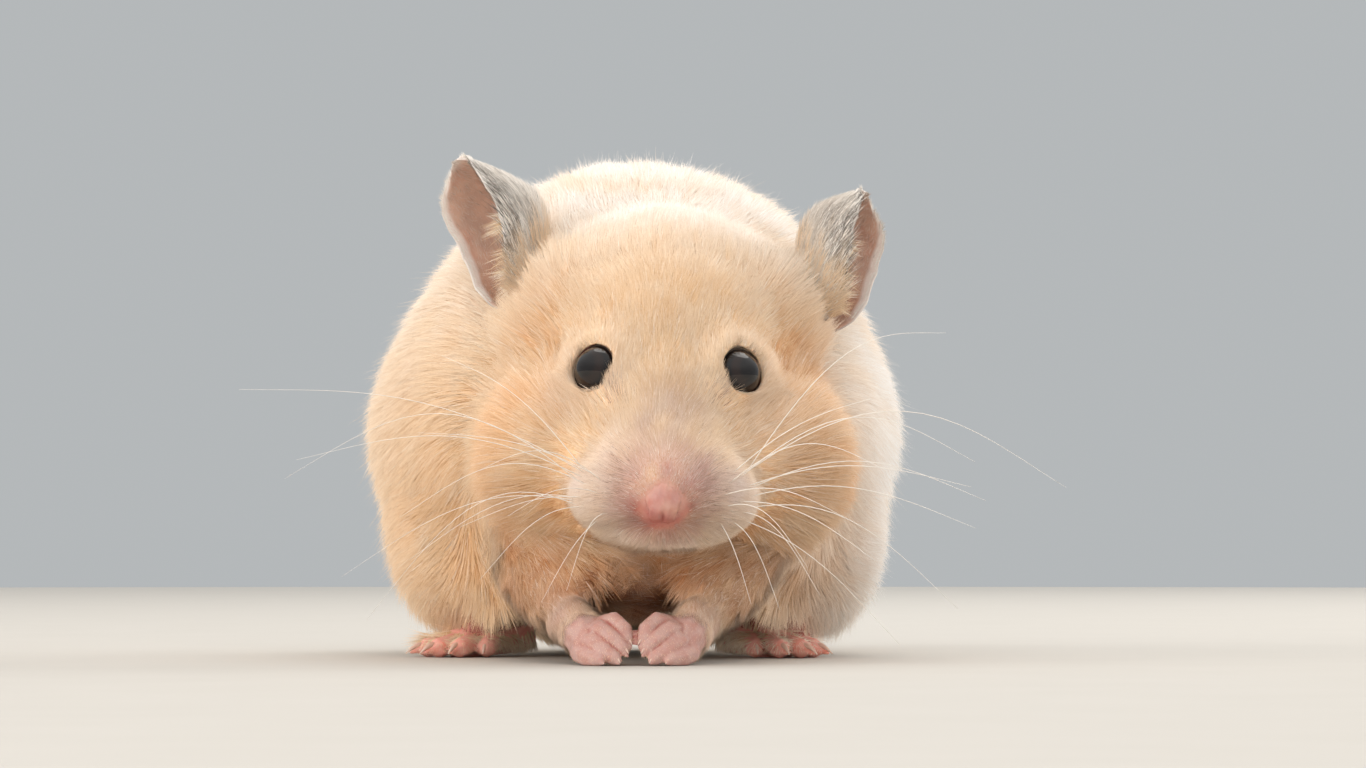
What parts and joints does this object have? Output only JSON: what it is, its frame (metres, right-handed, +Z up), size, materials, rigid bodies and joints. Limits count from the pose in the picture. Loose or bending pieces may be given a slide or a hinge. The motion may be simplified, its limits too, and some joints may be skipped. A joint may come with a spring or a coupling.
{
  "type": "syrian hamster",
  "caption": "Life-size cream Syrian hamster, crouched with its hands together under its chin, resting on its hands, hind feet and haunches.",
  "frame": {"origin": "on the floor, under the middle of the whole hamster with its whiskers", "axes": "the nose points along -Y, +X is the hamster's own left and +Z is up"},
  "size_m": [0.0984, 0.1148, 0.0645],
  "materials": {
    "coat": "soft cream fur, paler on the back and crown",
    "bare_skin": "pink bare skin with a thin pale down",
    "ear_skin": "thin grey-brown skin with short grey down",
    "eye": "wet black gloss",
    "whiskers": "translucent white hairs"
  },
  "bodies": {
    "root": {"torso": "coat", "head": "coat", "foreleg_left": "coat", "foreleg_right": "coat", "hindleg_left": "coat", "hindleg_right": "coat", "nose": "bare_skin", "hand_left": "bare_skin", "hand_right": "bare_skin", "hindfoot_left": "bare_skin", "hindfoot_right": "bare_skin", "tail": "bare_skin", "ear_left": "ear_skin", "ear_right": "ear_skin", "eye_left": "eye", "eye_right": "eye", "whisker_pad_left": "whiskers", "whisker_pad_right": "whiskers"}
  },
  "joints": []
}
